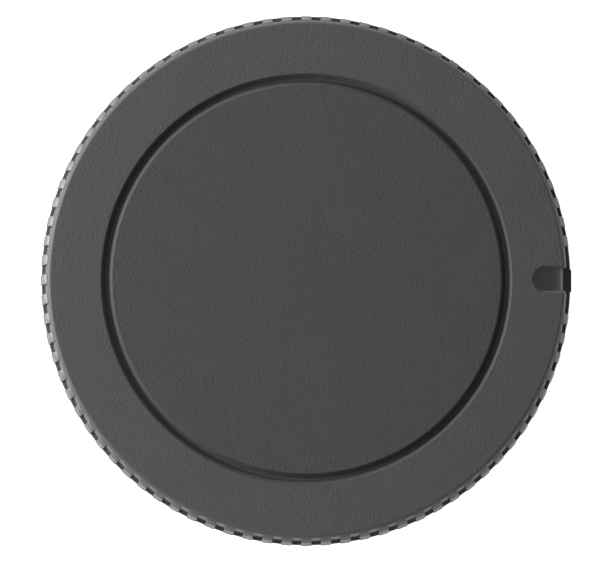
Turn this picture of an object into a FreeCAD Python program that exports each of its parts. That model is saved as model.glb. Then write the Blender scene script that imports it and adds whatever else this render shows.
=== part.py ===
# Body cap for an interchangeable-lens camera: one injection moulding in dark grey plastic.
# Millimetres. The cap lies on its bayonet with its front face up: +Z is the cap's axis, towards
# the front face, +X points at the index mark on the rim, and z = 0 is the free end of the skirt.
import FreeCAD, Part

import math
import os

import Sketcher
from FreeCAD import Placement, Rotation, Vector

# Driving dimensions: name, value in millimetres, degrees or pieces, meaning.
# Radii follow from the lens mount's opening outwards, ring by ring.
SIZES = [
    ("throat_diameter", 46.1, "opening of the lens mount that the bayonet enters"),
    ("lug_clearance", 0.1, "radial play of the lugs in the mount's opening"),
    ("lug_reach", 1.3, "height of a lug above the skirt"),
    ("skirt_wall", 1.5, "wall of the bayonet skirt"),
    ("skirt_drop", 4.1, "length of the skirt past the seat plane"),
    ("skirt_bevel", 0.3, "bevel on the skirt's free end"),
    ("lug_count", 3, "bayonet lugs"),
    ("lug_span", 50, "angle that one lug covers"),
    ("lug_azimuth", 90, "angle of the first lug's middle, from the index mark"),
    ("lug_gap", 1.9, "from the seat plane to the lugs' gripping face"),
    ("lug_thickness", 1.4, "lug along the axis"),
    ("lug_bevel", 0.25, "bevel on a lug's outer lower edge"),
    ("ramp_length", 2.4, "lead-in ramp on each lug"),
    ("ramp_drop", 0.6, "fall of the lead-in ramp"),
    ("stop_span", 4, "angle that the turning stop covers"),
    ("stop_rise", 1.2, "height of the turning stop above its lug"),
    ("seat_step", 0.55, "from the mount's opening out to the seat ring"),
    ("seat_ring_width", 2.0, "land that rests on the mount's flange"),
    ("channel_width", 3.2, "channel between seat ring and grip wall"),
    ("grip_wall", 1.65, "grip wall at its foot"),
    ("wall_draft", 0.25, "inward lean of the grip wall over its height"),
    ("flange_reach", 0.45, "foot flange outside the grip wall"),
    ("flange_thickness", 0.8, "foot flange along the axis"),
    ("flange_bevel", 0.15, "bevel on the foot flange's upper edge"),
    ("tooth_step", 0.1, "teeth beyond the foot flange"),
    ("grip_height", 5.1, "front face above the seat plane"),
    ("edge_round", 0.5, "rounding of the front face's rim"),
    ("plate_thickness", 1.6, "front plate"),
    ("root_bevel", 0.5, "bevel where the skirt meets the plate inside the cup"),
    ("groove_diameter", 46.8, "ring groove in the front face, middle of its width"),
    ("groove_floor", 0.6, "flat floor of the ring groove"),
    ("groove_depth", 0.6, "ring groove below the face, and the width of each sloping wall"),
    ("groove_lip", 0.35, "rounding of the ring groove's upper edges"),
    ("tooth_pitches", 84, "tooth positions round the rim"),
    ("plain_positions", 3, "positions left plain at the index mark"),
    ("tooth_width", 1.2, "one tooth along the rim"),
    ("tooth_drop", 0.5, "from the front face down to the teeth's upper ends"),
    ("tooth_draft", 0.32, "inward lean of a tooth over its height"),
    ("tooth_brow", 0.38, "sloping brow at a tooth's upper end, along the radius"),
    ("tooth_brow_drop", 0.34, "fall of the brow"),
    ("index_width", 3.15, "index mark at the face"),
    ("index_floor_width", 2.6, "index mark at its floor, and the plain block below it"),
    ("index_length", 3.95, "index mark from the rim to its rounded end"),
    ("index_depth", 0.4, "index mark below the face"),
    ("index_setback", 0.3, "plain block's upper edge inside the grip wall"),
    ("index_round", 0.8, "rounding from the mark's floor to the plain block"),
    ("rib_count", 12, "low ribs in the channel"),
    ("rib_thickness", 1.0, "one rib along the rim"),
    ("rib_height", 1.2, "one rib below the plate"),
    ("pin_mark_count", 6, "ejector pin marks inside the cup"),
    ("pin_mark_diameter", 3.0, "one ejector pin mark"),
    ("pin_mark_circle", 30.0, "circle through the ejector pin marks"),
    ("pin_mark_depth", 0.15, "one ejector pin mark"),
    ("gate_dish_diameter", 6.0, "dish round the moulding gate, inside the cup"),
    ("gate_dish_depth", 0.3, "dish round the moulding gate"),
    ("gate_diameter", 1.6, "trimmed stub of the moulding gate"),
    ("embed", 0.6, "how far an added feature reaches into the wall that carries it"),
    ("over", 1.0, "how far a cut runs past the surface it starts from"),
]

# Radii from the axis
LUG_R = "Sizes.throat_diameter / 2 - Sizes.lug_clearance"
SKIRT_OUT_R = LUG_R + " - Sizes.lug_reach"
SKIRT_IN_R = SKIRT_OUT_R + " - Sizes.skirt_wall"
RING_IN_R = "Sizes.throat_diameter / 2 + Sizes.seat_step"
RING_OUT_R = RING_IN_R + " + Sizes.seat_ring_width"
WALL_IN_R = RING_OUT_R + " + Sizes.channel_width"
WALL_FOOT_R = WALL_IN_R + " + Sizes.grip_wall"
WALL_TOP_R = WALL_FOOT_R + " - Sizes.wall_draft"
FLANGE_R = WALL_FOOT_R + " + Sizes.flange_reach"
CAP_R = FLANGE_R + " + Sizes.tooth_step"
TOOTH_TOP_R = CAP_R + " - Sizes.tooth_draft"
BLOCK_TOP_R = WALL_TOP_R + " - Sizes.index_setback"
EMBED_R = WALL_TOP_R + " - Sizes.embed"

# Heights above the skirt's free end
SEAT_Z = "Sizes.skirt_drop"
FLANGE_TOP_Z = SEAT_Z + " + Sizes.flange_thickness"
FACE_Z = SEAT_Z + " + Sizes.grip_height"
UNDER_Z = FACE_Z + " - Sizes.plate_thickness"
TOOTH_TOP_Z = FACE_Z + " - Sizes.tooth_drop"
INDEX_FLOOR_Z = FACE_Z + " - Sizes.index_depth"
LUG_TOP_Z = SEAT_Z + " - Sizes.lug_gap"
LUG_LOW_Z = LUG_TOP_Z + " - Sizes.lug_thickness"

# A rounding that runs round the whole cap is drawn as this many flats, which keeps the model light
RIM_FLAT_COUNT = 3
LIP_FLAT_COUNT = 2

# Slope of the ring groove's walls, in degrees: a wall is as wide as the groove is deep
GROOVE_SLOPE = 45

doc = FreeCAD.newDocument("BodyCap")


def make_sheet():
    """The spreadsheet of driving dimensions, one alias per value."""
    sheet = doc.addObject("Spreadsheet::Sheet", "Sizes")
    for row, (name, size, meaning) in enumerate(SIZES, start=1):
        sheet.set("A%d" % row, name)
        sheet.set("B%d" % row, str(size))
        sheet.set("C%d" % row, meaning)
        sheet.setAlias("B%d" % row, name)
    doc.recompute()
    return sheet


SHEET = make_sheet()


def value(expression):
    """Present value of an expression on the sheet. None stands for a place on the axis."""
    if expression is None:
        return 0.0
    result = SHEET.evalExpression(expression)
    return float(getattr(result, "Value", result))


def origin_feature(body, role):
    """One of a body's own origin planes or axes, by its role."""
    return next(item for item in body.Origin.OriginFeatures if item.Role == role)


def new_sketch(body, name, plane, lift=None, turn=None):
    """A sketch on an origin plane, lifted along its normal and turned about its own upright."""
    sketch = body.newObject("Sketcher::SketchObject", name)
    sketch.AttachmentSupport = [(origin_feature(body, plane), "")]
    sketch.MapMode = "FlatFace"
    if turn is not None:
        sketch.AttachmentOffset = Placement(Vector(), Rotation(Vector(0, 1, 0), value(turn)))
        sketch.setExpression("AttachmentOffset.Rotation.Angle", turn)
    if lift is not None:
        sketch.setExpression("AttachmentOffset.Base.z", lift)
    return sketch


def bind(sketch, constraint, name, expression):
    """Adds a dimension to a sketch and ties it to the sheet."""
    index = sketch.addConstraint(constraint)
    sketch.renameConstraint(index, name)
    sketch.setExpression("Constraints." + name, expression)


def add_point_sizes(sketch, name, line, end, across, up):
    """Ties one end of a line to its two coordinates; a coordinate of None is on the axis."""
    if across is None:
        sketch.addConstraint(Sketcher.Constraint("PointOnObject", line, end, -2))
    else:
        wanted = Sketcher.Constraint("DistanceX", -1, 1, line, end, value(across))
        bind(sketch, wanted, name + "_across", across)
    if up is None:
        sketch.addConstraint(Sketcher.Constraint("PointOnObject", line, end, -1))
    else:
        wanted = Sketcher.Constraint("DistanceY", -1, 1, line, end, value(up))
        bind(sketch, wanted, name + "_up", up)


def add_outline(sketch, corners):
    """A closed outline of straight lines. A corner is (name, across, up) or, where it is
    rounded, (name, across, up, radius)."""
    points = []
    for corner in corners:
        points.append(Vector(value(corner[1]), value(corner[2]), 0))
    count = len(points)
    for index in range(count):
        sketch.addGeometry(Part.LineSegment(points[index], points[(index + 1) % count]), False)
    for index in range(count):
        following = (index + 1) % count
        sketch.addConstraint(Sketcher.Constraint("Coincident", index, 2, following, 1))
    for index, corner in enumerate(corners):
        add_point_sizes(sketch, corner[0], index, 1, corner[1], corner[2])
    for index, corner in enumerate(corners):
        if len(corner) == 4:
            radius = value(corner[3])
            sketch.fillet(index, 1, radius, True, True)
            arc = max(i for i, item in enumerate(sketch.Geometry) if isinstance(item, Part.ArcOfCircle))
            bind(sketch, Sketcher.Constraint("Radius", arc, radius), corner[0] + "_round", corner[3])


def rounding(name, across, up, radius, start, stop, flats):
    """Corners of a rounding that is drawn as short flats: part of a circle about a middle.
    Angles are in degrees, from across towards up."""
    corners = []
    for step in range(flats + 1):
        angle = math.radians(start + (stop - start) * step / flats)
        corners.append(("%s_%d" % (name, step),
                        "%s + %.6f * %s" % (across, math.cos(angle), radius),
                        "%s + %.6f * %s" % (up, math.sin(angle), radius)))
    return corners


def add_circle(sketch, name, across, up, radius):
    """A circle whose middle and radius are tied to the sheet."""
    middle = Vector(value(across), value(up), 0)
    circle = sketch.addGeometry(Part.Circle(middle, Vector(0, 0, 1), value(radius)), False)
    add_point_sizes(sketch, name, circle, 3, across, up)
    bind(sketch, Sketcher.Constraint("Radius", circle, value(radius)), name + "_radius", radius)


def add_open_slot(sketch, middle, half_width, outside):
    """A slot along +X whose inner end is a half circle and whose outer end is square."""
    centre = value(middle)
    side = value(half_width)
    reach = value(outside)
    ring = Part.Circle(Vector(centre, 0, 0), Vector(0, 0, 1), side)
    arc = sketch.addGeometry(Part.ArcOfCircle(ring, math.pi / 2, 3 * math.pi / 2), False)
    corners = [(centre, -side), (reach, -side), (reach, side), (centre, side)]
    lines = []
    for (x1, y1), (x2, y2) in zip(corners, corners[1:]):
        segment = Part.LineSegment(Vector(x1, y1, 0), Vector(x2, y2, 0))
        lines.append(sketch.addGeometry(segment, False))
    low, end, high = lines
    sketch.addConstraint(Sketcher.Constraint("Tangent", arc, 2, low, 1))
    sketch.addConstraint(Sketcher.Constraint("Coincident", low, 2, end, 1))
    sketch.addConstraint(Sketcher.Constraint("Coincident", end, 2, high, 1))
    sketch.addConstraint(Sketcher.Constraint("Tangent", high, 2, arc, 1))
    sketch.addConstraint(Sketcher.Constraint("Horizontal", low))
    sketch.addConstraint(Sketcher.Constraint("Horizontal", high))
    sketch.addConstraint(Sketcher.Constraint("Vertical", end))
    add_point_sizes(sketch, "end_middle", arc, 3, middle, None)
    bind(sketch, Sketcher.Constraint("Radius", arc, side), "end_radius", half_width)
    wanted = Sketcher.Constraint("DistanceX", -1, 1, end, 1, reach)
    bind(sketch, wanted, "outside_across", outside)


def turned(body, kind, name, sketch, angle=None, both_ways=False):
    """A Revolution or Groove of a sketch about the cap's axis."""
    feature = body.newObject("PartDesign::" + kind, name)
    feature.Profile = sketch
    feature.ReferenceAxis = (sketch, ["V_Axis"])
    feature.Angle = 360.0
    if angle is not None:
        feature.Midplane = both_ways
        feature.setExpression("Angle", angle)
    return feature


def extruded(body, kind, name, sketch, length, both_ways=False, reverse=False):
    """A Pad or Pocket of a sketch along its normal."""
    feature = body.newObject("PartDesign::" + kind, name)
    feature.Profile = sketch
    feature.SideType = "Symmetric" if both_ways else "One side"
    feature.Reversed = reverse
    feature.setExpression("Length", length)
    return feature


def patterned(body, name, originals, count, angle):
    """Copies of features round the cap's axis: the angle runs from the first to the last."""
    pattern = body.newObject("PartDesign::PolarPattern", name)
    pattern.Originals = originals
    pattern.Axis = (origin_feature(body, "Z_Axis"), [""])
    pattern.setExpression("Occurrences", count)
    pattern.setExpression("Angle", angle)
    body.Tip = pattern
    return pattern


def all_round(count):
    """Angle from the first to the last of a number of equally spaced copies."""
    return "360 * (%s - 1) / %s" % (count, count)


def add_shell(body):
    """Front plate, grip wall with its foot flange, and seat ring, as one turning."""
    sketch = new_sketch(body, "ShellSection", "XZ_Plane")
    rim = rounding("face_rim", WALL_TOP_R + " - Sizes.edge_round", FACE_Z + " - Sizes.edge_round",
                   "Sizes.edge_round", 90, 0, RIM_FLAT_COUNT)
    add_outline(sketch, [("face_middle", None, FACE_Z)] + rim + [
        ("wall_foot", WALL_FOOT_R, FLANGE_TOP_Z),
        ("flange_upper", FLANGE_R + " - Sizes.flange_bevel", FLANGE_TOP_Z),
        ("flange_outer", FLANGE_R, FLANGE_TOP_Z + " - Sizes.flange_bevel"),
        ("flange_lower", FLANGE_R, SEAT_Z),
        ("wall_end", WALL_IN_R, SEAT_Z),
        ("channel_outer", WALL_IN_R, UNDER_Z),
        ("channel_inner", RING_OUT_R, UNDER_Z),
        ("ring_outer", RING_OUT_R, SEAT_Z),
        ("ring_inner", RING_IN_R, SEAT_Z),
        ("plate_under", RING_IN_R, UNDER_Z),
        ("under_middle", None, UNDER_Z),
    ])
    turned(body, "Revolution", "Shell", sketch)


def add_ring_groove(body):
    """Ring groove in the front face: flat floor, walls at 45 degrees, rounded upper edges."""
    middle = "Sizes.groove_diameter / 2"
    floor = "Sizes.groove_floor / 2"
    lip = "Sizes.groove_lip"
    lip_tangent = "%.6f * %s" % (math.tan(math.radians(GROOVE_SLOPE / 2)), lip)
    mouth = "(%s + Sizes.groove_depth + %s)" % (floor, lip_tangent)
    above = FACE_Z + " + Sizes.over"
    floor_z = FACE_Z + " - Sizes.groove_depth"
    inner_lip = rounding("inner_lip", middle + " - " + mouth, FACE_Z + " - " + lip,
                         lip, 90, 90 - GROOVE_SLOPE, LIP_FLAT_COUNT)
    outer_lip = rounding("outer_lip", middle + " + " + mouth, FACE_Z + " - " + lip,
                         lip, 90 + GROOVE_SLOPE, 90, LIP_FLAT_COUNT)
    sketch = new_sketch(body, "GrooveSection", "XZ_Plane")
    add_outline(sketch, [
        ("above_outer", middle + " + " + mouth, above),
        ("above_inner", middle + " - " + mouth, above),
    ] + inner_lip + [
        ("floor_inner", middle + " - " + floor, floor_z),
        ("floor_outer", middle + " + " + floor, floor_z),
    ] + outer_lip)
    turned(body, "Groove", "RingGroove", sketch)


def add_grip_teeth(body):
    """Upright teeth round the grip wall, left out where the index mark is. Each leans in
    towards the front face, has a sloping brow on top and stands on the foot flange."""
    pitch = "360 / Sizes.tooth_pitches"
    count = "(Sizes.tooth_pitches - Sizes.plain_positions)"
    first = "(Sizes.plain_positions + 1) / 2 * " + pitch
    sketch = new_sketch(body, "ToothSection", "XZ_Plane", turn=first)
    add_outline(sketch, [
        ("root_low", EMBED_R, SEAT_Z),
        ("foot", CAP_R, SEAT_Z),
        ("shoulder", TOOTH_TOP_R, TOOTH_TOP_Z + " - Sizes.tooth_brow_drop"),
        ("brow", TOOTH_TOP_R + " - Sizes.tooth_brow", TOOTH_TOP_Z),
        ("root_high", EMBED_R, TOOTH_TOP_Z),
    ])
    span = "Sizes.tooth_width / (%s) * 180 / pi" % CAP_R
    tooth = turned(body, "Revolution", "Tooth", sketch, span, both_ways=True)
    patterned(body, "GripTeeth", [tooth], count, "(%s - 1) * %s" % (count, pitch))


def add_index_mark(body):
    """Index mark at +X: a plain block down the grip wall, and a recess in the face that runs
    off the rim over the block with a rounding."""
    width = "Sizes.index_floor_width"
    half = "Sizes.index_width / 2"
    middle = WALL_TOP_R + " - Sizes.index_length + " + half
    outside = CAP_R + " + Sizes.over"
    above = FACE_Z + " + Sizes.over"

    block = new_sketch(body, "IndexBlockSection", "XZ_Plane")
    add_outline(block, [
        ("root_low", EMBED_R, SEAT_Z),
        ("foot_low", CAP_R, SEAT_Z),
        ("foot_high", CAP_R, FLANGE_TOP_Z),
        ("brow", BLOCK_TOP_R, INDEX_FLOOR_Z),
        ("root_high", EMBED_R, INDEX_FLOOR_Z),
    ])
    extruded(body, "Pad", "IndexBlock", block, width, both_ways=True)

    recess = new_sketch(body, "IndexRecessOutline", "XY_Plane", lift=FACE_Z)
    add_open_slot(recess, middle, half, outside)
    pocket = extruded(body, "Pocket", "IndexRecess", recess, "Sizes.index_depth")
    side_lean = "(Sizes.index_width - %s) / 2 / Sizes.index_depth" % width
    pocket.setExpression("TaperAngle", "-atan(%s)" % side_lean)

    front = new_sketch(body, "IndexFrontSection", "XZ_Plane")
    add_outline(front, [
        ("floor_inner", middle, INDEX_FLOOR_Z),
        ("brow", BLOCK_TOP_R, INDEX_FLOOR_Z, "Sizes.index_round"),
        ("slope_foot", CAP_R, FLANGE_TOP_Z),
        ("outside_low", outside, FLANGE_TOP_Z),
        ("outside_high", outside, above),
        ("inner_high", middle, above),
    ])
    extruded(body, "Pocket", "IndexFront", front, width, both_ways=True)


def add_bayonet(body):
    """Lugs with a lead-in ramp each, a turning stop behind the first, and the skirt that
    carries them. The skirt comes last and fills what the ramps cut inside its wall."""
    carrier = SKIRT_OUT_R + " - Sizes.skirt_wall / 2"
    section = new_sketch(body, "LugSection", "XZ_Plane", turn="Sizes.lug_azimuth")
    add_outline(section, [
        ("root_low", carrier, LUG_LOW_Z),
        ("bevel_inner", LUG_R + " - Sizes.lug_bevel", LUG_LOW_Z),
        ("bevel_outer", LUG_R, LUG_LOW_Z + " + Sizes.lug_bevel"),
        ("grip_outer", LUG_R, LUG_TOP_Z),
        ("root_high", carrier, LUG_TOP_Z),
    ])
    lug = turned(body, "Revolution", "Lug", section, "Sizes.lug_span", both_ways=True)

    leading = "Sizes.lug_azimuth + Sizes.lug_span / 2"
    wedge = new_sketch(body, "RampOutline", "YZ_Plane", turn=leading)
    add_outline(wedge, [
        ("ramp_start", "-Sizes.ramp_length", LUG_TOP_Z),
        ("ramp_end", None, LUG_TOP_Z + " - Sizes.ramp_drop"),
        ("ahead_low", "Sizes.over", LUG_TOP_Z + " - Sizes.ramp_drop"),
        ("ahead_high", "Sizes.over", LUG_TOP_Z + " + Sizes.over"),
        ("start_high", "-Sizes.ramp_length", LUG_TOP_Z + " + Sizes.over"),
    ])
    ramp = extruded(body, "Pocket", "Ramp", wedge, LUG_R + " + Sizes.over", reverse=True)
    patterned(body, "Lugs", [lug, ramp], "Sizes.lug_count", all_round("Sizes.lug_count"))

    behind = "Sizes.lug_azimuth - Sizes.lug_span / 2 + Sizes.stop_span / 2"
    stop = new_sketch(body, "StopSection", "XZ_Plane", turn=behind)
    add_outline(stop, [
        ("root_low", carrier, LUG_TOP_Z + " - Sizes.lug_thickness / 2"),
        ("outer_low", LUG_R, LUG_TOP_Z + " - Sizes.lug_thickness / 2"),
        ("outer_high", LUG_R, LUG_TOP_Z + " + Sizes.stop_rise"),
        ("root_high", carrier, LUG_TOP_Z + " + Sizes.stop_rise"),
    ])
    turned(body, "Revolution", "TurningStop", stop, "Sizes.stop_span", both_ways=True)

    skirt = new_sketch(body, "SkirtSection", "XZ_Plane")
    in_plate = UNDER_Z + " + Sizes.plate_thickness / 4"
    root_end = SKIRT_IN_R + " - Sizes.root_bevel"
    add_outline(skirt, [
        ("plate_outer", SKIRT_OUT_R, in_plate),
        ("bevel_upper", SKIRT_OUT_R, "Sizes.skirt_bevel"),
        ("end_outer", SKIRT_OUT_R + " - Sizes.skirt_bevel", None),
        ("end_inner", SKIRT_IN_R, None),
        ("root_low", SKIRT_IN_R, UNDER_Z + " - Sizes.root_bevel"),
        ("root_inner", root_end, UNDER_Z),
        ("root_high", root_end, in_plate),
    ])
    turned(body, "Revolution", "Skirt", skirt)


def add_channel_ribs(body):
    """Low ribs under the plate between seat ring and grip wall, short of the seat plane."""
    half = "Sizes.rib_thickness / 2"
    inner = RING_OUT_R + " - Sizes.seat_ring_width / 2"
    outer = WALL_IN_R + " + Sizes.grip_wall / 2"
    sketch = new_sketch(body, "RibOutline", "XY_Plane", lift=UNDER_Z)
    add_outline(sketch, [
        ("inner_right", inner, "-" + half),
        ("outer_right", outer, "-" + half),
        ("outer_left", outer, half),
        ("inner_left", inner, half),
    ])
    rib = extruded(body, "Pad", "Rib", sketch, "Sizes.rib_height", reverse=True)
    patterned(body, "ChannelRibs", [rib], "Sizes.rib_count", all_round("Sizes.rib_count"))


def add_moulding_marks(body):
    """Inside the cup: shallow ejector pin marks on a circle and the trimmed gate in a dish."""
    mark = new_sketch(body, "PinMarkOutline", "XY_Plane", lift=UNDER_Z)
    add_circle(mark, "mark", "Sizes.pin_mark_circle / 2", None, "Sizes.pin_mark_diameter / 2")
    pin = extruded(body, "Pocket", "PinMark", mark, "Sizes.pin_mark_depth", reverse=True)
    count = "Sizes.pin_mark_count"
    patterned(body, "PinMarks", [pin], count, all_round(count))

    dish = new_sketch(body, "GateDishOutline", "XY_Plane", lift=UNDER_Z)
    add_circle(dish, "dish", None, None, "Sizes.gate_dish_diameter / 2")
    add_circle(dish, "gate", None, None, "Sizes.gate_diameter / 2")
    extruded(body, "Pocket", "GateDish", dish, "Sizes.gate_dish_depth", reverse=True)


def build_cap():
    """The whole moulding as one body."""
    body = doc.addObject("PartDesign::Body", "BodyCap")
    body.Label = "body_cap"
    add_shell(body)
    add_ring_groove(body)
    add_bayonet(body)
    add_channel_ribs(body)
    add_moulding_marks(body)
    add_index_mark(body)
    add_grip_teeth(body)
    return body


def check_and_write(pieces):
    """Stops on any failed feature or shape, then writes one STEP file per piece."""
    doc.recompute()
    for item in doc.Objects:
        if "Invalid" in item.State or "Error" in item.State:
            raise RuntimeError("%s failed: %s" % (item.Name, item.State))
    for piece in pieces:
        shape = piece.Shape
        if shape.isNull() or not shape.isValid() or len(shape.Solids) != 1:
            raise RuntimeError("%s is not one valid solid" % piece.Label)
    os.makedirs("parts", exist_ok=True)
    for piece in pieces:
        piece.Shape.exportStep(os.path.join("parts", piece.Label + ".step"))
        box = piece.Shape.optimalBoundingBox(False, False)
        print("%s: volume %.1f mm3, box %.3f x %.3f x %.3f mm, from z %.3f"
              % (piece.Label, piece.Shape.Volume, box.XLength, box.YLength, box.ZLength, box.ZMin))


check_and_write([build_cap()])
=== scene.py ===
import math

import bmesh
import bpy
from mathutils import Matrix, Vector


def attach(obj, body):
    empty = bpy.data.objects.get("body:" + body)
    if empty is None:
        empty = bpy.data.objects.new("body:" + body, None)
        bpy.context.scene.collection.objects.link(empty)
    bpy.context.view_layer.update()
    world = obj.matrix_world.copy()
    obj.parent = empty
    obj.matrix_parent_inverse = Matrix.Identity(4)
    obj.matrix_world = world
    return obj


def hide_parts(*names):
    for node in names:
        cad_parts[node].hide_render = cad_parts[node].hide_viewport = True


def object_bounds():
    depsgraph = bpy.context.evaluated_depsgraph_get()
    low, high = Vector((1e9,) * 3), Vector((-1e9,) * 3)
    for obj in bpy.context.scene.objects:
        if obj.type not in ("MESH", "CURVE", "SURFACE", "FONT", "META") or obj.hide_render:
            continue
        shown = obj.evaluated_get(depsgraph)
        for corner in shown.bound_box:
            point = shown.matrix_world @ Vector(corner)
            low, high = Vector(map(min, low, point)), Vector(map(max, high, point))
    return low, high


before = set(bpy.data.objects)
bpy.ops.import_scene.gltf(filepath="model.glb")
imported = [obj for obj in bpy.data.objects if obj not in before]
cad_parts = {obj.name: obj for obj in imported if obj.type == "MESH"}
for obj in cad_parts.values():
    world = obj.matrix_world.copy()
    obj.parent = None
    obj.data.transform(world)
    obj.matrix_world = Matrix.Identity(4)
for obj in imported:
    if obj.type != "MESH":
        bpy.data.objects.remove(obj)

# Camera body cap: one moulding in dark grey plastic, lying on its bayonet with its face up.
# The scene is in metres in the frame of the solid. The cap's sizes here are in millimetres.
MM = 0.001
CAD_LOW, CAD_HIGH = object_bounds()

# Widths along the radius
TOOTH_STEP = 0.1
FLANGE_REACH = 0.45
WALL_DRAFT = 0.25
GRIP_WALL = 1.65
CHANNEL_WIDTH = 3.2
SEAT_RING_WIDTH = 2.0
LUG_INSET = 0.65
LUG_REACH = 1.3
SKIRT_WALL = 1.5

# Heights along the axis
GRIP_HEIGHT = 5.1
FLANGE_THICKNESS = 0.8
PLATE_THICKNESS = 1.6
LUG_GAP = 1.9
LUG_THICKNESS = 1.4
TOOTH_DROP = 0.5
INDEX_DEPTH = 0.4

# Radii and heights of the moulding, from the solid's own box inwards and downwards
CAP_R = (CAD_HIGH.x - CAD_LOW.x) / 2 / MM
FACE_Z = CAD_HIGH.z / MM
FLANGE_R = CAP_R - TOOTH_STEP
WALL_FOOT_R = FLANGE_R - FLANGE_REACH
WALL_TOP_R = WALL_FOOT_R - WALL_DRAFT
WALL_IN_R = WALL_FOOT_R - GRIP_WALL
RING_OUT_R = WALL_IN_R - CHANNEL_WIDTH
RING_IN_R = RING_OUT_R - SEAT_RING_WIDTH
LUG_R = RING_IN_R - LUG_INSET
SKIRT_OUT_R = LUG_R - LUG_REACH
SKIRT_IN_R = SKIRT_OUT_R - SKIRT_WALL
SEAT_Z = FACE_Z - GRIP_HEIGHT
FLANGE_TOP_Z = SEAT_Z + FLANGE_THICKNESS
UNDER_Z = FACE_Z - PLATE_THICKNESS
LUG_TOP_Z = SEAT_Z - LUG_GAP
LUG_LOW_Z = LUG_TOP_Z - LUG_THICKNESS
TOOTH_TOP_Z = FACE_Z - TOOTH_DROP
INDEX_FLOOR_Z = FACE_Z - INDEX_DEPTH

# Rounding of the face's rim
EDGE_ROUND = 0.5

# Ring groove in the face: flat floor, steep walls, rounded lips
GROOVE_R = 23.3
GROOVE_FLOOR_HALF = 0.14
GROOVE_WALL_RUN = 0.5
GROOVE_DEPTH = 0.6
GROOVE_TOP_HALF = GROOVE_FLOOR_HALF + GROOVE_WALL_RUN
GROOVE_LIP = 0.2
GROOVE_WALL_SLOPE = math.atan2(GROOVE_DEPTH, GROOVE_WALL_RUN)
GROOVE_MOUTH_HALF = GROOVE_TOP_HALF + GROOVE_LIP * math.tan(GROOVE_WALL_SLOPE / 2)

# Turning steps round the whole cap, and flats in a rounded corner
ROUND_STEPS = 252
CORNER_FLATS = 5

# Corners of the turned outline closer together than this become one
MERGE_GAP = 0.0005

# Grip teeth
TOOTH_PITCHES = 84
PLAIN_POSITIONS = 3
TOOTH_WIDTH = 1.2
TOOTH_DRAFT = 0.32
TOOTH_TOP_R = CAP_R - TOOTH_DRAFT
BROW_WIDTH = 0.42
BROW_HEIGHT = 0.37

# Where the teeth and the plain block start inside the grip wall, and their lower end
GRIP_ROOT_R = WALL_TOP_R - 0.6
GRIP_FOOT_Z = SEAT_Z + 0.02

# Index mark at +X
INDEX_HALF = 1.575
INDEX_FLOOR_HALF = 1.3
INDEX_LENGTH = 3.95
INDEX_MIDDLE_R = WALL_TOP_R - INDEX_LENGTH + INDEX_HALF
INDEX_ROUND = 0.8
BLOCK_SETBACK = 0.52
BLOCK_TOP_R = WALL_TOP_R - BLOCK_SETBACK

# Margins that keep a face near the edge of a zone in the right one
WIDE_MARGIN = 0.1
FINE_MARGIN = 0.01

# Size of the faint clouds in the plastic's tone
CLOUD_SIZE = 6.0

# Inside the cup and the channel
DISH_R = 3.0
DISH_DEPTH = 0.3
GATE_R = 0.8
PIN_MARKS = 6
PIN_MARK_R = 1.5
PIN_MARK_CIRCLE_R = 15.0
PIN_MARK_DEPTH = 0.15
RIBS = 12
RIB_WIDTH = 1.0
RIB_HEIGHT = 1.2

# Bayonet
LUGS = 3
LUG_SPAN = 50
LUG_MIDDLE = 90
RAMP_SPAN = 6
RAMP_DROP = 0.6
STOP_SPAN = 4
STOP_RISE = 1.2
LUG_ROOT_R = SKIRT_OUT_R - 0.75


def linear(hex_colour):
    """An sRGB hex colour as linear red, green, blue and alpha."""
    parts = [int(hex_colour[i:i + 2], 16) / 255 for i in (1, 3, 5)]
    values = [c / 12.92 if c <= 0.04045 else ((c + 0.055) / 1.055) ** 2.4 for c in parts]
    return (*values, 1.0)


def add_node(tree, kind, settings=None, inputs=None, links=None):
    """One shader node with its settings, its input values and what feeds its inputs."""
    node = tree.nodes.new("ShaderNode" + kind)
    for name, setting in (settings or {}).items():
        setattr(node, name, setting)
    for name, amount in (inputs or {}).items():
        node.inputs[name].default_value = amount
    for name, source in (links or {}).items():
        tree.links.new(source, node.inputs[name])
    return node


def new_material(name):
    """An empty material with its output node."""
    material = bpy.data.materials.new(name)
    material.use_nodes = True
    material.node_tree.nodes.clear()
    output = material.node_tree.nodes.new("ShaderNodeOutputMaterial")
    return material, material.node_tree, output


def per_mm(size):
    """Noise scale, on Object coordinates in metres, for marks about this many millimetres across."""
    return 1.0 / (size * MM)


def choose(piece):
    """Selects one object alone and makes it the active one."""
    bpy.ops.object.select_all(action="DESELECT")
    piece.select_set(True)
    bpy.context.view_layer.objects.active = piece


def begin(piece):
    """Edit mode on one piece alone, with nothing selected in it."""
    choose(piece)
    bpy.ops.object.mode_set(mode="EDIT")
    bpy.ops.mesh.select_all(action="DESELECT")


def end():
    """Back from edit mode."""
    bpy.ops.object.mode_set(mode="OBJECT")


def pick(piece, kind, test):
    """Selects the corners, edges or faces whose middle, in millimetres, passes a test."""
    bpy.ops.mesh.select_mode(type=kind)
    bpy.ops.mesh.select_all(action="DESELECT")
    mesh = bmesh.from_edit_mesh(piece.data)
    if kind == "VERT":
        for corner in mesh.verts:
            corner.select_set(test(corner.co / MM))
    if kind == "EDGE":
        for edge in mesh.edges:
            edge.select_set(test(edge.verts[0].co / MM, edge.verts[1].co / MM))
    if kind == "FACE":
        for face in mesh.faces:
            face.select_set(test(face.calc_center_median() / MM, face.normal))
    bmesh.update_edit_mesh(piece.data)


def named(name):
    """The object just added, under its own name."""
    piece = bpy.context.object
    piece.name = name
    piece.data.name = name
    return piece


def place(piece):
    """Puts an object's place, turn and scale into its mesh."""
    choose(piece)
    bpy.ops.object.transform_apply(location=True, rotation=True, scale=True)
    return piece


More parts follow.
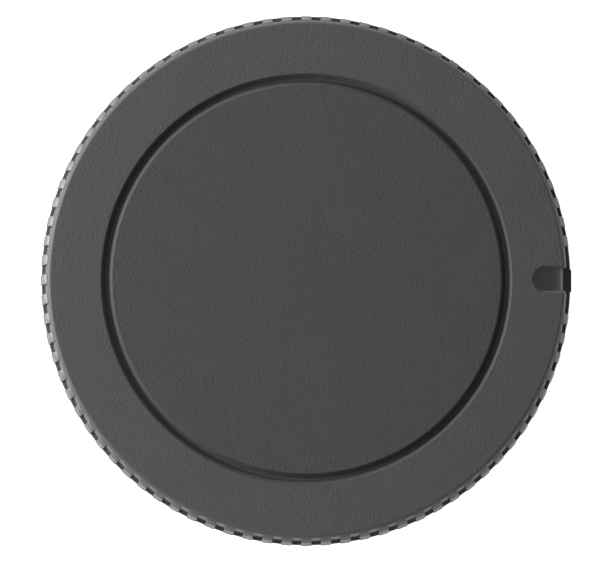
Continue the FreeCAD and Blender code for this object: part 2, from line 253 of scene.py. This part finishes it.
def soften(corners):
    """An outline whose corners (across, up, radius) are rounded off where the radius isn't 0."""
    outline = []
    count = len(corners)
    for index, (across, up, radius) in enumerate(corners):
        here = Vector((across, up))
        if radius == 0:
            outline.append(here)
            continue
        back = (Vector(corners[index - 1][:2]) - here).normalized()
        ahead = (Vector(corners[(index + 1) % count][:2]) - here).normalized()
        half_angle = back.angle(ahead) / 2
        middle = here + (back + ahead).normalized() * radius / math.sin(half_angle)
        start = here + back * radius / math.tan(half_angle) - middle
        turn = start.angle_signed(here + ahead * radius / math.tan(half_angle) - middle)
        for step in range(CORNER_FLATS + 1):
            angle = -turn * step / CORNER_FLATS
            across_turned = start.x * math.cos(angle) - start.y * math.sin(angle)
            up_turned = start.x * math.sin(angle) + start.y * math.cos(angle)
            outline.append(middle + Vector((across_turned, up_turned)))
    return outline


def draw(name, outline, closed):
    """Draws an outline in the XZ plane, corner after corner, starting from one point."""
    bpy.ops.object.select_all(action="DESELECT")
    bpy.ops.mesh.primitive_plane_add(size=MM, location=(0, 0, 0))
    piece = named(name)
    bpy.ops.object.mode_set(mode="EDIT")
    bpy.ops.mesh.select_all(action="SELECT")
    bpy.ops.mesh.merge(type="CENTER")
    bpy.ops.mesh.select_mode(type="VERT")
    first = outline[0]
    bpy.ops.mesh.select_all(action="SELECT")
    bpy.ops.transform.translate(value=(first.x * MM, 0, first.y * MM))
    for last, point in zip(outline, outline[1:]):
        step = (point - last) * MM
        bpy.ops.mesh.extrude_vertices_move(TRANSFORM_OT_translate={"value": (step.x, 0, step.y)})
    bpy.ops.mesh.select_all(action="SELECT")
    if closed:
        bpy.ops.mesh.edge_face_add()
    end()
    return piece


def spin_round(piece):
    """Turns an open outline, from axis to axis, once round into a closed shell."""
    begin(piece)
    bpy.ops.mesh.select_all(action="SELECT")
    bpy.ops.mesh.spin(steps=ROUND_STEPS, angle=2 * math.pi, center=(0, 0, 0), axis=(0, 0, 1))
    bpy.ops.mesh.select_all(action="SELECT")
    bpy.ops.mesh.remove_doubles(threshold=MERGE_GAP * MM)
    bpy.ops.mesh.normals_make_consistent(inside=False)
    end()


def copies_round(piece, angles):
    """Copies of a piece turned about the cap's axis to these angles in degrees, joined as one."""
    copies = []
    for angle in angles:
        choose(piece)
        bpy.ops.object.duplicate()
        twin = bpy.context.object
        twin.rotation_euler = (0, 0, math.radians(angle))
        copies.append(twin)
    name = piece.name
    bpy.data.objects.remove(piece)
    bpy.ops.object.select_all(action="DESELECT")
    for twin in copies:
        twin.select_set(True)
    bpy.context.view_layer.objects.active = copies[0]
    bpy.ops.object.transform_apply(location=False, rotation=True, scale=False)
    bpy.ops.object.join()
    return named(name)


def combine(piece, other, operation):
    """Joins another solid to a piece, or cuts it away, and removes the other."""
    choose(piece)
    bpy.ops.object.modifier_add(type="BOOLEAN")
    modifier = piece.modifiers[-1]
    modifier.operation = operation
    modifier.solver = "EXACT"
    modifier.object = other
    bpy.ops.object.modifier_apply(modifier=modifier.name)
    bpy.data.objects.remove(other)


def turned_shell():
    """Face, groove, rim, grip wall, foot flange, channel, seat ring and skirt, as one turning."""
    outline = soften([
        (0, FACE_Z, 0),
        (GROOVE_R - GROOVE_TOP_HALF, FACE_Z, GROOVE_LIP),
        (GROOVE_R - GROOVE_FLOOR_HALF, FACE_Z - GROOVE_DEPTH, 0.12),
        (GROOVE_R + GROOVE_FLOOR_HALF, FACE_Z - GROOVE_DEPTH, 0.12),
        (GROOVE_R + GROOVE_TOP_HALF, FACE_Z, GROOVE_LIP),
        (WALL_TOP_R, FACE_Z, EDGE_ROUND),
        (WALL_FOOT_R, FLANGE_TOP_Z, 0.08),
        (FLANGE_R, FLANGE_TOP_Z, 0.15),
        (FLANGE_R, SEAT_Z, 0.08),
        (WALL_IN_R, SEAT_Z, 0.12),
        (WALL_IN_R, UNDER_Z, 0.3),
        (RING_OUT_R, UNDER_Z, 0.3),
        (RING_OUT_R, SEAT_Z, 0.1),
        (RING_IN_R, SEAT_Z, 0.1),
        (RING_IN_R, UNDER_Z, 0.2),
        (SKIRT_OUT_R, UNDER_Z, 0.2),
        (SKIRT_OUT_R, 0, 0.3),
        (SKIRT_IN_R, 0, 0.15),
        (SKIRT_IN_R, UNDER_Z, 0.5),
        (DISH_R, UNDER_Z, 0.08),
        (DISH_R, UNDER_Z + DISH_DEPTH, 0.08),
        (GATE_R, UNDER_Z + DISH_DEPTH, 0.05),
        (GATE_R, UNDER_Z, 0.05),
        (0, UNDER_Z, 0),
    ])
    shell = draw("body_cap_dressed", outline, closed=False)
    spin_round(shell)
    return shell


def extruded_outline(name, outline, half_width):
    """A prism along Y on both sides of an outline in the XZ plane."""
    prism = draw(name, outline, closed=True)
    begin(prism)
    bpy.ops.mesh.select_all(action="SELECT")
    bpy.ops.transform.translate(value=(0, -half_width * MM, 0))
    bpy.ops.mesh.extrude_region_move(
        TRANSFORM_OT_translate={"value": (0, 2 * half_width * MM, 0)})
    bpy.ops.mesh.select_all(action="SELECT")
    bpy.ops.mesh.normals_make_consistent(inside=False)
    end()
    return prism


def grip_teeth():
    """One grip tooth with a sloping brow, copied round the rim, plain at the index mark."""
    tooth = extruded_outline("grip_teeth", soften([
        (GRIP_ROOT_R, GRIP_FOOT_Z, 0),
        (CAP_R - 0.005, GRIP_FOOT_Z, 0),
        (TOOTH_TOP_R, TOOTH_TOP_Z - BROW_HEIGHT, 0.1),
        (TOOTH_TOP_R - BROW_WIDTH, TOOTH_TOP_Z, 0.08),
        (GRIP_ROOT_R, TOOTH_TOP_Z, 0),
    ]), TOOTH_WIDTH / 2)
    side = TOOTH_WIDTH / 2 - 0.01

    def outer_side(a, b):
        """Whether an edge is on a flank of the tooth and clear of its root and its foot."""
        on_side = min(a.y, b.y) > side or max(a.y, b.y) < -side
        off_root = max(a.x, b.x) > GRIP_ROOT_R + 0.1
        return on_side and off_root and max(a.z, b.z) > GRIP_FOOT_Z + 0.1

    begin(tooth)
    pick(tooth, "EDGE", outer_side)
    bpy.ops.mesh.bevel(offset=0.08 * MM, offset_type="OFFSET", segments=3, affect="EDGES")
    end()
    pitch = 360 / TOOTH_PITCHES
    first = (PLAIN_POSITIONS + 1) // 2
    last = TOOTH_PITCHES - first
    return copies_round(tooth, [pitch * index for index in range(first, last + 1)])


def index_block():
    """Plain block down the grip wall below the index mark."""
    spare = 0.05
    return extruded_outline("index_block", soften([
        (GRIP_ROOT_R, GRIP_FOOT_Z, 0),
        (CAP_R, GRIP_FOOT_Z, 0.06),
        (CAP_R, FLANGE_TOP_Z, 0.3),
        (BLOCK_TOP_R + spare, INDEX_FLOOR_Z + spare, 0),
        (GRIP_ROOT_R, INDEX_FLOOR_Z + spare, 0),
    ]), INDEX_FLOOR_HALF)


def index_recess():
    """Cutter for the index mark: a slot with a round inner end, narrower at its floor."""
    turn_steps = 48
    reach = CAP_R + 3.0 - INDEX_MIDDLE_R
    lip = 0.06
    bpy.ops.object.select_all(action="DESELECT")
    bpy.ops.mesh.primitive_circle_add(
        vertices=turn_steps, radius=INDEX_FLOOR_HALF * MM,
        location=(INDEX_MIDDLE_R * MM, 0, INDEX_FLOOR_Z * MM),
        rotation=(0, 0, math.pi / turn_steps), fill_type="NGON")
    cutter = place(named("index_recess"))
    levels = [
        (FACE_Z - lip, INDEX_HALF - 0.02),
        (FACE_Z, INDEX_HALF + 0.02),
        (FACE_Z + lip, INDEX_HALF + 0.1),
        (FACE_Z + 1.0, INDEX_HALF + 0.1),
    ]
    centre = (INDEX_MIDDLE_R * MM, 0, 0)
    begin(cutter)
    bpy.ops.mesh.select_all(action="SELECT")
    low = INDEX_FLOOR_Z
    width = INDEX_FLOOR_HALF
    for up, half in levels:
        bpy.ops.mesh.extrude_region_move(
            TRANSFORM_OT_translate={"value": (0, 0, (up - low) * MM)})
        bpy.ops.transform.resize(value=(half / width, half / width, 1), center_override=centre)
        low = up
        width = half
    pick(cutter, "VERT", lambda p: p.x > INDEX_MIDDLE_R)
    bpy.ops.transform.translate(value=(reach * MM, 0, 0))
    bpy.ops.mesh.select_all(action="SELECT")
    bpy.ops.mesh.normals_make_consistent(inside=False)
    end()
    return cutter


def index_front():
    """Cutter that gives the index mark its rounded run-off and the block its sloping front."""
    return extruded_outline("index_front", soften([
        (INDEX_MIDDLE_R, INDEX_FLOOR_Z, 0),
        (BLOCK_TOP_R, INDEX_FLOOR_Z, INDEX_ROUND),
        (CAP_R, FLANGE_TOP_Z, 0),
        (CAP_R + 2, FLANGE_TOP_Z, 0),
        (CAP_R + 2, FACE_Z + 1, 0),
        (INDEX_MIDDLE_R, FACE_Z + 1, 0),
    ]), INDEX_FLOOR_HALF)


def swept_sector(name, outline, start, span):
    """An outline in the XZ plane swept about the cap's axis, one step per degree."""
    sector = draw(name, outline, closed=True)
    begin(sector)
    bpy.ops.mesh.select_all(action="SELECT")
    bpy.ops.transform.rotate(
        value=-math.radians(start), orient_axis="Z", center_override=(0, 0, 0))
    bpy.ops.mesh.spin(
        steps=span, angle=-math.radians(span), center=(0, 0, 0), axis=(0, 0, 1))
    bpy.ops.mesh.select_all(action="SELECT")
    bpy.ops.mesh.remove_doubles(threshold=MERGE_GAP * MM)
    bpy.ops.mesh.normals_make_consistent(inside=False)
    end()
    return sector


def azimuth(point):
    """Angle of a point round the cap's axis, in degrees from the index mark."""
    return math.degrees(math.atan2(point.y, point.x)) % 360


def bayonet_lugs():
    """Bayonet lug with a lead-in ramp at its leading end, copied three times round."""
    start = LUG_MIDDLE - LUG_SPAN / 2
    finish = start + LUG_SPAN
    lug = swept_sector("bayonet_lugs", soften([
        (LUG_ROOT_R, LUG_LOW_Z, 0),
        (LUG_R, LUG_LOW_Z, 0.25),
        (LUG_R, LUG_TOP_Z, 0.1),
        (LUG_ROOT_R, LUG_TOP_Z, 0),
    ]), start, LUG_SPAN)
    begin(lug)
    middle_z = (LUG_LOW_Z + LUG_TOP_Z) / 2
    for step in range(1, RAMP_SPAN + 1):
        angle = finish - RAMP_SPAN + step
        pick(lug, "VERT", lambda p: p.z > middle_z and abs(azimuth(p) - angle) < 0.3)
        fall = RAMP_DROP * step / RAMP_SPAN
        bpy.ops.transform.translate(value=(0, 0, -fall * MM))
    end()
    return copies_round(lug, [360 / LUGS * index for index in range(LUGS)])


def turning_stop():
    """Stop behind the first lug that ends the locking turn."""
    outer_r = LUG_R - 0.02
    low = LUG_TOP_Z - 0.7
    return swept_sector("turning_stop", soften([
        (LUG_ROOT_R, low, 0),
        (outer_r, low, 0),
        (outer_r, LUG_TOP_Z + STOP_RISE, 0.15),
        (LUG_ROOT_R, LUG_TOP_Z + STOP_RISE, 0),
    ]), LUG_MIDDLE - LUG_SPAN / 2 + 0.05, STOP_SPAN)


def channel_ribs():
    """Low ribs across the channel between seat ring and grip wall."""
    inner = RING_OUT_R - 1.0
    outer = WALL_IN_R + 0.8
    low = UNDER_Z - RIB_HEIGHT
    high = UNDER_Z + 0.4
    bpy.ops.object.select_all(action="DESELECT")
    bpy.ops.mesh.primitive_cube_add(
        size=1, location=((inner + outer) / 2 * MM, 0, (low + high) / 2 * MM))
    rib = named("channel_ribs")
    rib.scale = ((outer - inner) * MM, RIB_WIDTH * MM, (high - low) * MM)
    place(rib)
    begin(rib)
    pick(rib, "EDGE", lambda a, b: max(a.z, b.z) < low + 0.1 and abs(a.y - b.y) < 0.1)
    bpy.ops.mesh.bevel(offset=0.12 * MM, offset_type="OFFSET", segments=3, affect="EDGES")
    end()
    return copies_round(rib, [360 / RIBS * index for index in range(RIBS)])


def pin_mark_cutters():
    """Cutters for the shallow round marks that the ejector pins leave inside the cup."""
    depth = PIN_MARK_DEPTH + 1.0
    bpy.ops.object.select_all(action="DESELECT")
    bpy.ops.mesh.primitive_cylinder_add(
        vertices=48, radius=PIN_MARK_R * MM, depth=depth * MM,
        location=(PIN_MARK_CIRCLE_R * MM, 0, (UNDER_Z + PIN_MARK_DEPTH - depth / 2) * MM))
    mark = place(named("pin_marks"))
    begin(mark)
    pick(mark, "EDGE", lambda a, b: min(a.z, b.z) > UNDER_Z)
    bpy.ops.mesh.bevel(offset=0.05 * MM, offset_type="OFFSET", segments=2, affect="EDGES")
    end()
    return copies_round(mark, [360 / PIN_MARKS * index for index in range(PIN_MARKS)])


def build_cap():
    """The whole moulding as one closed mesh."""
    cap = turned_shell()
    combine(cap, grip_teeth(), "UNION")
    combine(cap, index_block(), "UNION")
    combine(cap, index_recess(), "DIFFERENCE")
    combine(cap, index_front(), "DIFFERENCE")
    combine(cap, bayonet_lugs(), "UNION")
    combine(cap, turning_stop(), "UNION")
    combine(cap, channel_ribs(), "UNION")
    combine(cap, pin_mark_cutters(), "DIFFERENCE")
    choose(cap)
    bpy.ops.object.shade_smooth_by_angle(angle=math.radians(32))
    bpy.ops.object.modifier_add(type="WEIGHTED_NORMAL")
    cap.modifiers[-1].keep_sharp = True
    bpy.ops.object.modifier_apply(modifier=cap.modifiers[-1].name)
    return cap


def moulded_abs(name, tones, roughness, sheen_level, grain_size, grain_height, grain_strength):
    """Dark grey ABS with the skin that the mould gave it: noise bumps, and clouds between two tones."""
    material, tree, output = new_material(name)
    spot = add_node(tree, "TexCoord").outputs["Object"]
    grain = add_node(tree, "TexNoise", None,
                     {"Scale": per_mm(grain_size), "Detail": 4.0, "Roughness": 0.6}, {"Vector": spot})
    cloud = add_node(tree, "TexNoise", None,
                     {"Scale": per_mm(CLOUD_SIZE), "Detail": 2.0}, {"Vector": spot})
    tone = add_node(tree, "Mix", {"data_type": "RGBA", "blend_type": "MIX"},
                    {"A": linear(tones[0]), "B": linear(tones[1])}, {"Factor": cloud.outputs["Fac"]})
    relief = add_node(tree, "Bump", None,
                      {"Strength": grain_strength, "Distance": grain_height * MM},
                      {"Height": grain.outputs["Fac"]})
    shader = add_node(tree, "BsdfPrincipled", None,
                      {"Roughness": roughness, "Specular IOR Level": sheen_level},
                      {"Base Color": tone.outputs["Result"], "Normal": relief.outputs["Normal"]})
    tree.links.new(shader.outputs["BSDF"], output.inputs["Surface"])
    return material


def around(point):
    """Distance of a point from the cap's axis."""
    return math.hypot(point.x, point.y)


def zone_of(middle, normal):
    """Which finish a face of the moulding has, from its middle in millimetres and its normal."""
    distance = around(middle)
    in_slot = abs(middle.y) < INDEX_HALF + WIDE_MARGIN
    past_slot_end = middle.x > INDEX_MIDDLE_R - INDEX_HALF - WIDE_MARGIN
    in_height = FLANGE_TOP_Z < middle.z < INDEX_FLOOR_Z + FINE_MARGIN
    if in_slot and past_slot_end and in_height and distance < CAP_R + WIDE_MARGIN:
        # Floor and curved end of the index mark: their near-black colour is painted shade
        if normal.z > 0.35 and distance < BLOCK_TOP_R + 0.3:
            return "glossy_painted_shade" if normal.z > 0.998 else "run_off"
        # The block's front gets a dark colour that is painted shade
        if distance > WALL_TOP_R - WIDE_MARGIN:
            return "block"
    if middle.z > FACE_Z - FINE_MARGIN and distance < GROOVE_R - GROOVE_MOUTH_HALF:
        return "disc"
    # Groove walls and floor: their slightly darker tone is painted shade
    above_groove_floor = middle.z > FACE_Z - GROOVE_DEPTH - WIDE_MARGIN
    if above_groove_floor and abs(distance - GROOVE_R) < GROOVE_MOUTH_HALF:
        return "groove"
    if distance > WALL_TOP_R + 0.08 and middle.z > TOOTH_TOP_Z - 0.25:
        return "tooth_end"
    if distance > WALL_TOP_R - 0.7 and middle.z > FACE_Z - 0.75 and normal.z < 0.995:
        return "rim"
    if middle.z < UNDER_Z + 0.6 and distance < WALL_IN_R + WIDE_MARGIN:
        return "inside"
    return "ring"


def dress(cap):
    """Gives each zone of the moulding its own finish; the groove, the index mark and the block below it
    carry painted shade.
    """
    finishes = {
        # Even mid grey with a fine grain that breaks up the light, as the mould's sparked skin does
        "ring": moulded_abs("spark_eroded_abs", ("#424040", "#484646"), 0.5, 0.3, 0.28, 0.09, 1.0),
        # The same grain, a shade darker, which sets the centre off from the ring
        "disc": moulded_abs("fine_eroded_abs", ("#393737", "#3f3d3d"), 0.5, 0.3, 0.28, 0.09, 1.0),
        # Duller walls with less grain, and a tone a little darker than the ring that is painted shade,
        # so one side of the groove stays a dark line
        "groove": moulded_abs("matt_painted_shade_abs", ("#403e3e", "#464444"), 0.5, 0.1, 0.28, 0.03, 0.6),
        # Smoother edge that draws a soft light line round the face
        "rim": moulded_abs("handled_abs", ("#3a3939", "#403f3f"), 0.55, 0.45, 0.3, 0.02, 0.5),
        # Smooth slopes on the teeth that catch the light as bright dashes
        "tooth_end": moulded_abs("burnished_abs", ("#3a3939", "#403f3f"), 0.5, 0.8, 0.3, 0.01, 0.2),
        # Mirror-smooth floor of the index mark in a near-black colour that is painted shade, the
        # darkest flat patch of the face
        "glossy_painted_shade": moulded_abs("glossy_painted_shade_abs", ("#191919", "#1b1b1b"), 0.1, 0.15, 2.0, 0.01, 0.1),
        # Curve at the mark's end in the floor's near-black colour, painted shade, with one light strip
        # across it from its sheen
        "run_off": moulded_abs("run_off_painted_shade_abs", ("#191919", "#1b1b1b"), 0.55, 0.75, 2.0, 0.01, 0.1),
        # Flat dull front in a dark colour with almost no sheen, painted shade that keeps it as dark as
        # the shadowed floor it faces
        "block": moulded_abs("block_painted_shade_abs", ("#262626", "#282828"), 0.5, 0.003, 0.3, 0.01, 0.3),
        # Satin inner faces with slow, broad highlights
        "inside": moulded_abs("satin_abs", ("#3a3939", "#403f3f"), 0.38, 0.5, 0.6, 0.01, 0.2),
    }
    cap.data.materials.clear()
    order = list(finishes)
    for zone in order:
        cap.data.materials.append(finishes[zone])
    for face in cap.data.polygons:
        face.material_index = order.index(zone_of(face.center / MM, face.normal))


def set_camera():
    """Long lens almost straight above the face, moved a little towards -Y and -X.

    The picture's size, and the outline's width and middle in it, are in pixels.
    """
    tilt = math.radians(2.5)
    heading = math.radians(245)
    distance = 1.5
    photo_width = 600
    photo_height = 587
    outline_width = 530.7
    middle_across = 306.0
    middle_down = 280.75
    data = bpy.data.cameras.new("camera")
    camera = bpy.data.objects.new("camera", data)
    bpy.context.scene.collection.objects.link(camera)
    target = Vector((0, 0, (SEAT_Z + 0.4) * MM))
    back = Vector((math.sin(tilt) * math.cos(heading), math.sin(tilt) * math.sin(heading),
                   math.cos(tilt)))
    camera.location = target + back * distance
    across = Vector((0, 1, 0)).cross(back).normalized()
    camera.rotation_mode = "QUATERNION"
    camera.rotation_quaternion = Matrix((across, back.cross(across), back)).transposed().to_quaternion()
    frame_width = 2 * CAP_R * MM * photo_width / outline_width
    data.sensor_width = 36
    data.lens = data.sensor_width * distance / frame_width
    data.shift_x = (photo_width / 2 - middle_across) / photo_width
    data.shift_y = (middle_down - photo_height / 2) / photo_width
    data.clip_start = 0.01
    data.clip_end = 10
    bpy.context.scene.camera = camera


def softbox(name, azimuth_deg, elevation_deg, distance, width, height, watts):
    """A rectangular soft light that faces the middle of the cap. Its sizes are in metres."""
    data = bpy.data.lights.new(name, "AREA")
    data.shape = "RECTANGLE"
    data.size = width
    data.size_y = height
    data.energy = watts
    lamp = bpy.data.objects.new(name, data)
    bpy.context.scene.collection.objects.link(lamp)
    turned = math.radians(azimuth_deg)
    raised = math.radians(elevation_deg)
    back = Vector((math.cos(turned) * math.cos(raised), math.sin(turned) * math.cos(raised),
                   math.sin(raised)))
    lamp.location = back * distance
    lamp.rotation_mode = "QUATERNION"
    lamp.rotation_quaternion = (-back).to_track_quat("-Z", "Y")


def add_floor():
    """Pale floor. The camera sees it nearly white, with the cap's shadow still on it."""
    bpy.ops.object.select_all(action="DESELECT")
    bpy.ops.mesh.primitive_plane_add(size=6, location=(0, 0, -0.01 * MM))
    floor = named("floor")
    material, tree, output = new_material("pale_floor")
    ray = add_node(tree, "LightPath")
    matte = add_node(tree, "BsdfDiffuse", None, {"Color": linear("#e6e6e6")})
    white = add_node(tree, "Emission", None, {"Color": (1, 1, 1, 1), "Strength": 1.0})
    seen = add_node(tree, "Math", {"operation": "MAXIMUM"}, None,
                    {0: ray.outputs["Is Camera Ray"], 1: ray.outputs["Is Glossy Ray"]})
    lit = add_node(tree, "MixShader", None, None, {0: seen.outputs[0], 2: white.outputs[0]})
    both = add_node(tree, "AddShader", None, None, {0: matte.outputs[0], 1: lit.outputs[0]})
    tree.links.new(both.outputs[0], output.inputs["Surface"])
    floor.data.materials.append(material)


def add_world():
    """White surroundings for the camera. Reflections see a light band low down and a light zenith."""
    world = bpy.data.worlds.new("studio")
    bpy.context.scene.world = world
    world.use_nodes = True
    tree = world.node_tree
    tree.nodes.clear()
    output = tree.nodes.new("ShaderNodeOutputWorld")
    ray = add_node(tree, "LightPath")
    direction = add_node(tree, "TexCoord").outputs["Generated"]
    height = add_node(tree, "SeparateXYZ", None, None, {"Vector": direction}).outputs["Z"]
    horizon = add_node(tree, "MapRange", None,
                       {"From Min": 0.5, "From Max": 0.25, "To Min": 0.35, "To Max": 2.2},
                       {"Value": height})
    zenith = add_node(tree, "MapRange", None,
                      {"From Min": 0.95, "From Max": 0.98, "To Min": 0.0, "To Max": 2.4},
                      {"Value": height})
    bright = add_node(tree, "Math", {"operation": "ADD"}, None,
                      {0: horizon.outputs["Result"], 1: zenith.outputs["Result"]})
    in_gloss = add_node(tree, "Math", {"operation": "MULTIPLY"}, None,
                        {0: bright.outputs[0], 1: ray.outputs["Is Glossy Ray"]})
    mirrored = add_node(tree, "Background", None, {"Color": (1, 1, 1, 1)},
                        {"Strength": in_gloss.outputs[0]})
    white = add_node(tree, "Background", None, {"Color": (1, 1, 1, 1), "Strength": 1.0})
    seen = add_node(tree, "Math", {"operation": "MAXIMUM"}, None,
                    {0: ray.outputs["Is Camera Ray"], 1: ray.outputs["Is Transmission Ray"]})
    both = add_node(tree, "MixShader", None, None,
                    {0: seen.outputs[0], 1: mirrored.outputs[0], 2: white.outputs[0]})
    tree.links.new(both.outputs[0], output.inputs["Surface"])


def light_and_stage():
    """Four soft lamps round the cap, the floor and the surroundings."""
    # Main light from the left, low enough to pick out the groove and the teeth
    softbox("key", 170, 20, 0.32, 0.26, 0.11, 2.15)
    # White card at the top of the picture
    softbox("card", 98, 20, 0.28, 0.2, 0.1, 0.44)
    # Low strip at the right that lifts the teeth there
    softbox("edge", 5, 5, 0.28, 0.3, 0.04, 0.12)
    # Weak fill from the bottom of the picture
    softbox("fill", 262, 55, 0.28, 0.2, 0.1, 0.16)
    add_floor()
    add_world()


cap = build_cap()
dress(cap)
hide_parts("body_cap")
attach(cap, "root")

set_camera()
light_and_stage()
bpy.context.scene.view_settings.view_transform = "Standard"
